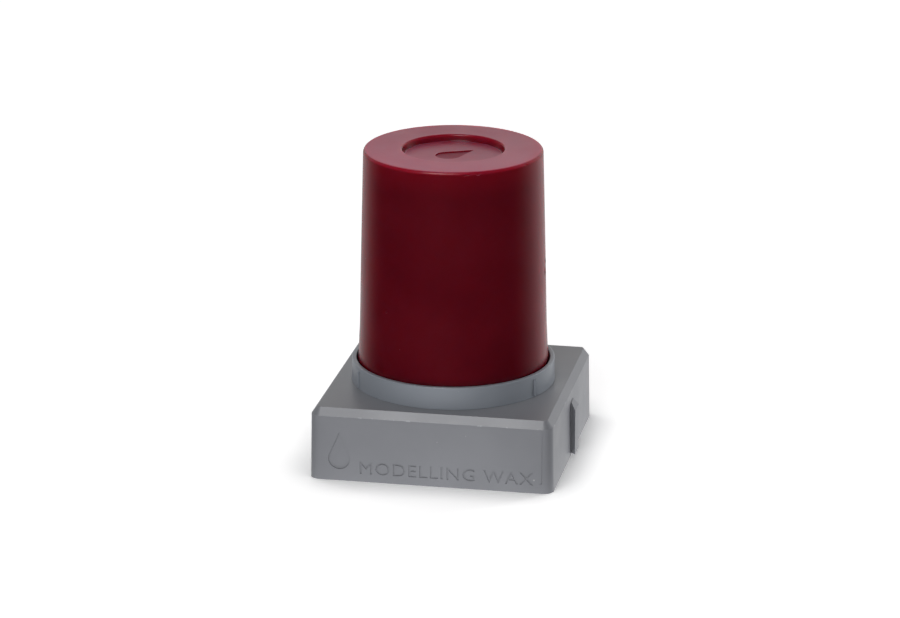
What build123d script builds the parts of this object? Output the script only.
from build123d import *
import math
import os

# A block of modelling wax on a linkable turntable base, in millimetres.
# The origin is on the wax block's axis, in the plane that the base stands on.
# +Z is up, -Y is the front, +X is the side with the link rail.

# ---- Square base -----------------------------------------------------------
BASE_WIDTH = 56.0            # outside width at the table, both ways
BASE_HEIGHT = 16.9           # table to the upper face of the top plate
WALL = 2.0                   # walls and top plate
DRAFT = 0.8                  # degrees that each wall leans inwards
CORNER_RADIUS = 2.3          # upright corners
CHAMFER_IN = 1.3             # top edge chamfer, measured across the plate
CHAMFER_DOWN = 1.75          # top edge chamfer, measured down the wall
FOOT_RADIUS = 0.5            # rounding of the edge that meets the table

# ---- Link rail and the slot that takes a neighbour's rail ------------------
RAIL_OUT = 1.05              # how far the rail stands out of the side wall
RAIL_ROOT = 3.0              # width where it joins the wall
RAIL_FACE = 4.8              # width of its outer face
RAIL_START = 0.5             # height of its lower end
RAIL_TOP = 12.8              # height of its upper end, at the wall
RAIL_LEAD = 1.7              # height of the lead-in slope at its upper end
LINK_GAP = 0.15              # clearance all round a neighbour's rail
SLOT_PAD = 1.2               # extra wall thickness behind the slot
SLOT_PAD_WIDTH = 9.0

# ---- Turning dish ----------------------------------------------------------
COLLAR_RADIUS = 23.4         # outside of the collar at its rim
COLLAR_FOOT = 23.55          # outside of the collar where it meets the plate
COLLAR_BORE = 22.3
COLLAR_RISE = 5.2            # rim above the plate
RIM_RADIUS = 0.3
FOOT_FLARE = 0.5             # height of the flared foot
DISH_FLOOR = 1.0             # thickness of the dish's floor
SHADOW_GAP = 0.15            # the collar's foot clears the plate by this
BEARING_RADIUS = 22.6        # outside of the ring that the dish turns on
PIVOT_RADIUS = 20.65         # outside of the skirt that turns in the plate
PIVOT_GAP = 0.15             # between the skirt and the plate's opening
SKIRT_WALL = 1.2
SKIRT_DROP = 2.9             # skirt below the plate's upper face
TONGUE_COUNT = 3
TONGUE_ANGLE = 30.0          # degrees of skirt that each snap tongue takes
TONGUE_DROP = 5.0            # tongue's end below the plate's upper face
TONGUE_HOOK = 1.0            # how far a hook reaches out under the plate
TONGUE_PLAY = 0.2            # between the hooks and the plate
HOOK_FLAT = 1.0              # height of a hook's full-width part
TONGUE_THIN = 0.1            # tongues are this much thinner than the skirt, each face
SLIT_ANGLE = 2.5             # degrees of slit each side of a tongue
SKIRT_STUB = 0.5             # skirt left above the slits
GRIP_RIB_TURN = 3.3          # degrees that the outside ribs are turned from the tongues
GRIP_RIB_WIDTH = 0.35
GRIP_RIB_OUT = 0.3
GRIP_RIB_RISE = 4.2          # outside ribs stop this far above the plate
POST_RADIUS = 3.1            # centre post at the floor
POST_TIP_RADIUS = 2.8
POST_HEIGHT = 12.0
POST_BORE = 1.8              # cored out from below

# ---- Wax block -------------------------------------------------------------
WAX_TOP = 71.7               # height of the block's top face above the table
WAX_TOP_RADIUS = 20.36
WAX_HALF_ANGLE = 1.82        # degrees, the block widens downwards
WAX_EDGE = 0.9               # rounding of the top edge
WAX_FOOT_EDGE = 0.6          # rounding of the bottom edge
RECESS_RADIUS = 11.7         # round hollow in the top face
RECESS_DEPTH = 1.5
RECESS_SLOPE = 0.5           # the hollow's wall leans in by this
SOCKET_GAP = 0.2             # between the post and the block's socket
SOCKET_SPARE = 0.6           # socket depth beyond the post's tip

# ---- Ribs under the plate --------------------------------------------------
GUARD_RADIUS = 23.0          # inside of the ring rib round the opening
RIB = 1.2                    # thickness of every rib
RIB_DROP = 3.0               # ribs below the plate's lower face

# ---- Drop emblem, a plain drop of molten wax -------------------------------
DROP_DEPTH = 0.3
FRONT_DROP_RADIUS = 2.5
FRONT_DROP_X = -21.0
FRONT_DROP_Z = 5.2
TOP_DROP_RADIUS = 2.9
TOP_DROP_TURN = -42.0        # degrees that the drop on top leans to the right

PLATE_UNDER = BASE_HEIGHT - WALL
DISH_FLOOR_TOP = BASE_HEIGHT + DISH_FLOOR
RIM_HEIGHT = BASE_HEIGHT + COLLAR_RISE
OPENING_RADIUS = PIVOT_RADIUS + PIVOT_GAP
OVERCUT = 1.0


def lean(height):
    """How far a drafted wall has moved inwards at a height."""
    return height * math.tan(math.radians(DRAFT))


def square_plane(width, radius, height):
    """A rounded square lying at a height, as a face."""
    return Pos(0, 0, height) * RectangleRounded(width, width, radius)


def drafted_block(sections):
    """A solid through a stack of rounded squares, with flat sides."""
    faces = [square_plane(*section).face() for section in sections]
    return Solid.make_loft([face.outer_wire() for face in faces], ruled=True)


def revolve_profile(points):
    """A solid of revolution about Z from (radius, height) points."""
    outline = Polyline(*[(r, 0, z) for r, z in points], close=True)
    return revolve(make_face(outline), Axis.Z)


def ring(outer, inner, low, high):
    """A plain ring about Z between two heights."""
    return revolve_profile([(inner, low), (outer, low), (outer, high), (inner, high)])


def drop_face(radius):
    """The outline of a falling drop: a circle with a tip at two and a half radii."""
    tip = 2.5 * radius
    touch = math.acos(radius / tip)
    side_x = radius * math.sin(touch)
    side_y = radius * math.cos(touch)
    cap = make_face(Polyline((side_x, side_y), (0, tip), (-side_x, side_y), close=True))
    return Circle(radius) + cap


def rail_outline(root, face, depth):
    """A dovetail seen from above, starting inside the wall and growing to +X."""
    return make_face(
        Polyline(
            (-OVERCUT, root / 2),
            (0, root / 2),
            (depth, face / 2),
            (depth, -face / 2),
            (0, -root / 2),
            (-OVERCUT, -root / 2),
            close=True,
        )
    )


def link_rail():
    """Dovetail rail on the +X wall, with a sloping lead-in at its upper end."""
    length = RAIL_TOP - RAIL_START
    bar = extrude(rail_outline(RAIL_ROOT, RAIL_FACE, RAIL_OUT), length)
    slope = make_face(
        Polyline(
            (0, 0, length),
            (RAIL_OUT + OVERCUT, 0, length),
            (RAIL_OUT + OVERCUT, 0, length - RAIL_LEAD * (1 + OVERCUT / RAIL_OUT)),
            close=True,
        )
    )
    bar -= extrude(slope, RAIL_FACE, both=True)
    return Pos(BASE_WIDTH / 2, 0, RAIL_START) * bar


def link_slot():
    """The space cut for a neighbour's rail, open downwards, in the -X wall."""
    root = RAIL_ROOT + 2 * LINK_GAP
    face = RAIL_FACE + 2 * LINK_GAP
    depth = RAIL_OUT + LINK_GAP
    length = RAIL_TOP + LINK_GAP + OVERCUT
    space = extrude(rail_outline(root, face, depth), length)
    return Pos(-BASE_WIDTH / 2, 0, -OVERCUT) * space


def plate_ribs():
    """Ring rib round the opening, with ribs out to the walls and corners."""
    low = PLATE_UNDER - RIB_DROP
    ribs = ring(GUARD_RADIUS + RIB, GUARD_RADIUS, low, PLATE_UNDER + RIB / 2)
    reach = BASE_WIDTH / 2 - WALL / 2
    corner_reach = math.sqrt(2) * (reach - WALL)
    for quarter in range(4):
        for turn, end in ((0, reach), (45, corner_reach)):
            start = GUARD_RADIUS + RIB / 2
            rib = Pos((start + end) / 2, 0, low) * Box(
                end - start, RIB, RIB_DROP + RIB / 2, align=(Align.CENTER, Align.CENTER, Align.MIN)
            )
            ribs += Rot(0, 0, 90 * quarter + turn) * rib
    return ribs


def base_shell():
    """Square moulded base, open underneath, with a round opening for the dish."""
    shoulder = BASE_HEIGHT - CHAMFER_DOWN
    shoulder_width = BASE_WIDTH - 2 * lean(shoulder)
    outside = drafted_block(
        [
            (BASE_WIDTH, CORNER_RADIUS, 0),
            (shoulder_width, CORNER_RADIUS, shoulder),
            (shoulder_width - 2 * CHAMFER_IN, CORNER_RADIUS - CHAMFER_IN, BASE_HEIGHT),
        ]
    )
    outside = fillet(outside.edges().filter_by_position(Axis.Z, 0, 0), FOOT_RADIUS)
    inner_radius = 1.0
    inner_width = BASE_WIDTH - 2 * WALL
    inside = drafted_block(
        [
            (inner_width + 2 * lean(OVERCUT), inner_radius, -OVERCUT),
            (inner_width - 2 * lean(PLATE_UNDER), inner_radius, PLATE_UNDER),
        ]
    )
    shell = outside - inside
    shell += plate_ribs()
    pad_height = PLATE_UNDER + RIB / 2
    pad = Pos(-BASE_WIDTH / 2 + WALL - lean(pad_height), 0, 0) * Box(
        2 * SLOT_PAD, SLOT_PAD_WIDTH, pad_height, align=(Align.CENTER, Align.CENTER, Align.MIN)
    )
    shell += pad
    shell -= Pos(0, 0, PLATE_UNDER - OVERCUT) * Cylinder(
        OPENING_RADIUS, WALL + 2 * OVERCUT, align=(Align.CENTER, Align.CENTER, Align.MIN)
    )
    shell += link_rail()
    shell -= link_slot()
    front = BASE_WIDTH / 2 - lean(FRONT_DROP_Z) - DROP_DEPTH
    drop = Rot(90 - DRAFT, 0, 0) * extrude(drop_face(FRONT_DROP_RADIUS), DROP_DEPTH + OVERCUT)
    return shell - Pos(FRONT_DROP_X, -front, FRONT_DROP_Z) * drop


def snap_tongue():
    """One hooked tongue, thinner than the skirt on both faces, centred on +X."""
    root = PIVOT_RADIUS - SKIRT_WALL + TONGUE_THIN
    outside = PIVOT_RADIUS - TONGUE_THIN
    hook_top = PLATE_UNDER - TONGUE_PLAY
    end = BASE_HEIGHT - TONGUE_DROP
    hook = PIVOT_RADIUS + TONGUE_HOOK
    section = make_face(
        Polyline(
            (root, 0, BASE_HEIGHT + DISH_FLOOR / 2),
            (outside, 0, BASE_HEIGHT + DISH_FLOOR / 2),
            (outside, 0, hook_top),
            (hook, 0, hook_top),
            (hook, 0, hook_top - HOOK_FLAT),
            (outside, 0, end),
            (root, 0, end),
            close=True,
        )
    )
    return Rot(0, 0, -TONGUE_ANGLE / 2) * revolve(section, Axis.Z, TONGUE_ANGLE)


def tongue_gap():
    """The stretch of skirt that a tongue and its two slits replace, centred on +X."""
    inner = PIVOT_RADIUS - 2 * SKIRT_WALL
    outer = PIVOT_RADIUS + SKIRT_WALL
    low = BASE_HEIGHT - SKIRT_DROP - OVERCUT
    high = BASE_HEIGHT - SKIRT_STUB
    section = make_face(
        Polyline((inner, 0, low), (outer, 0, low), (outer, 0, high), (inner, 0, high), close=True)
    )
    angle = TONGUE_ANGLE + 2 * SLIT_ANGLE
    return Rot(0, 0, -angle / 2) * revolve(section, Axis.Z, angle)


def grip_rib():
    """One fine upright rib on the outside of the collar, centred on +X."""
    low = BASE_HEIGHT + SHADOW_GAP + FOOT_FLARE / 2
    high = BASE_HEIGHT + GRIP_RIB_RISE
    root = COLLAR_BORE + (COLLAR_RADIUS - COLLAR_BORE) / 2
    slope = (COLLAR_FOOT - COLLAR_RADIUS) / 3 / (COLLAR_RISE - SHADOW_GAP - FOOT_FLARE)
    top_face = COLLAR_RADIUS + slope * (RIM_HEIGHT - high) + GRIP_RIB_OUT
    section = make_face(
        Polyline(
            (root, 0, low),
            (top_face + slope * (high - low), 0, low),
            (top_face, 0, high - GRIP_RIB_OUT),
            (top_face - 2 * GRIP_RIB_OUT, 0, high),
            (root, 0, high),
            close=True,
        )
    )
    return extrude(section, GRIP_RIB_WIDTH / 2, both=True)


def wax_dish():
    """Round dish that turns in the base and holds the foot of the wax block."""
    foot = BASE_HEIGHT + SHADOW_GAP
    skirt_end = BASE_HEIGHT - SKIRT_DROP
    skirt_bore = PIVOT_RADIUS - SKIRT_WALL
    cup = revolve_profile(
        [
            (0, BASE_HEIGHT),
            (skirt_bore, BASE_HEIGHT),
            (skirt_bore, skirt_end),
            (PIVOT_RADIUS, skirt_end),
            (PIVOT_RADIUS, BASE_HEIGHT),
            (BEARING_RADIUS, BASE_HEIGHT),
            (BEARING_RADIUS, foot),
            (COLLAR_FOOT, foot),
            (COLLAR_RADIUS + (COLLAR_FOOT - COLLAR_RADIUS) / 3, foot + FOOT_FLARE),
            (COLLAR_RADIUS, RIM_HEIGHT),
            (COLLAR_BORE, RIM_HEIGHT),
            (COLLAR_BORE, DISH_FLOOR_TOP),
            (0, DISH_FLOOR_TOP),
        ]
    )
    rim = cup.edges().filter_by(GeomType.CIRCLE).filter_by_position(Axis.Z, RIM_HEIGHT, RIM_HEIGHT)
    dish = fillet(rim, RIM_RADIUS)
    post = Pos(0, 0, DISH_FLOOR_TOP) * Cone(
        POST_RADIUS, POST_TIP_RADIUS, POST_HEIGHT, align=(Align.CENTER, Align.CENTER, Align.MIN)
    )
    post = chamfer(post.edges().group_by(Axis.Z)[-1], RIM_RADIUS)
    dish += post
    core_depth = DISH_FLOOR + POST_HEIGHT - SKIRT_WALL
    dish -= Pos(0, 0, BASE_HEIGHT - OVERCUT) * Cylinder(
        POST_BORE, core_depth + OVERCUT, align=(Align.CENTER, Align.CENTER, Align.MIN)
    )
    for third in range(TONGUE_COUNT):
        turn = 90 + 360 / TONGUE_COUNT * third
        dish += Rot(0, 0, turn + GRIP_RIB_TURN) * grip_rib()
        dish -= Rot(0, 0, turn) * tongue_gap()
        dish += Rot(0, 0, turn) * snap_tongue()
    return dish


def wax_block():
    """Tapered cast block with a round hollow on top and a socket for the post."""
    height = WAX_TOP - DISH_FLOOR_TOP
    foot_radius = WAX_TOP_RADIUS + height * math.tan(math.radians(WAX_HALF_ANGLE))
    body = Pos(0, 0, DISH_FLOOR_TOP) * Cone(
        foot_radius, WAX_TOP_RADIUS, height, align=(Align.CENTER, Align.CENTER, Align.MIN)
    )
    body = fillet(body.edges().group_by(Axis.Z)[-1], WAX_EDGE)
    body = fillet(body.edges().group_by(Axis.Z)[0], WAX_FOOT_EDGE)
    recess_floor = WAX_TOP - RECESS_DEPTH
    body -= Pos(0, 0, recess_floor) * Cone(
        RECESS_RADIUS - RECESS_SLOPE,
        RECESS_RADIUS,
        RECESS_DEPTH,
        align=(Align.CENTER, Align.CENTER, Align.MIN),
    )
    socket_depth = POST_HEIGHT + SOCKET_SPARE
    body -= Pos(0, 0, DISH_FLOOR_TOP) * Cone(
        POST_RADIUS + SOCKET_GAP,
        POST_TIP_RADIUS + SOCKET_GAP,
        socket_depth,
        align=(Align.CENTER, Align.CENTER, Align.MIN),
    )
    drop = extrude(drop_face(TOP_DROP_RADIUS), DROP_DEPTH + OVERCUT)
    centred = Pos(0, -TOP_DROP_RADIUS / 2, 0) * drop
    return body - Pos(0, 0, recess_floor - DROP_DEPTH) * Rot(0, 0, TOP_DROP_TURN) * centred


def main():
    os.makedirs("parts", exist_ok=True)
    for name, shape in (
        ("base_shell", base_shell()),
        ("wax_dish", wax_dish()),
        ("wax_block", wax_block()),
    ):
        export_step(shape, f"parts/{name}.step")
        print(name, "volume", round(shape.volume, 1), "box", shape.bounding_box())


main()
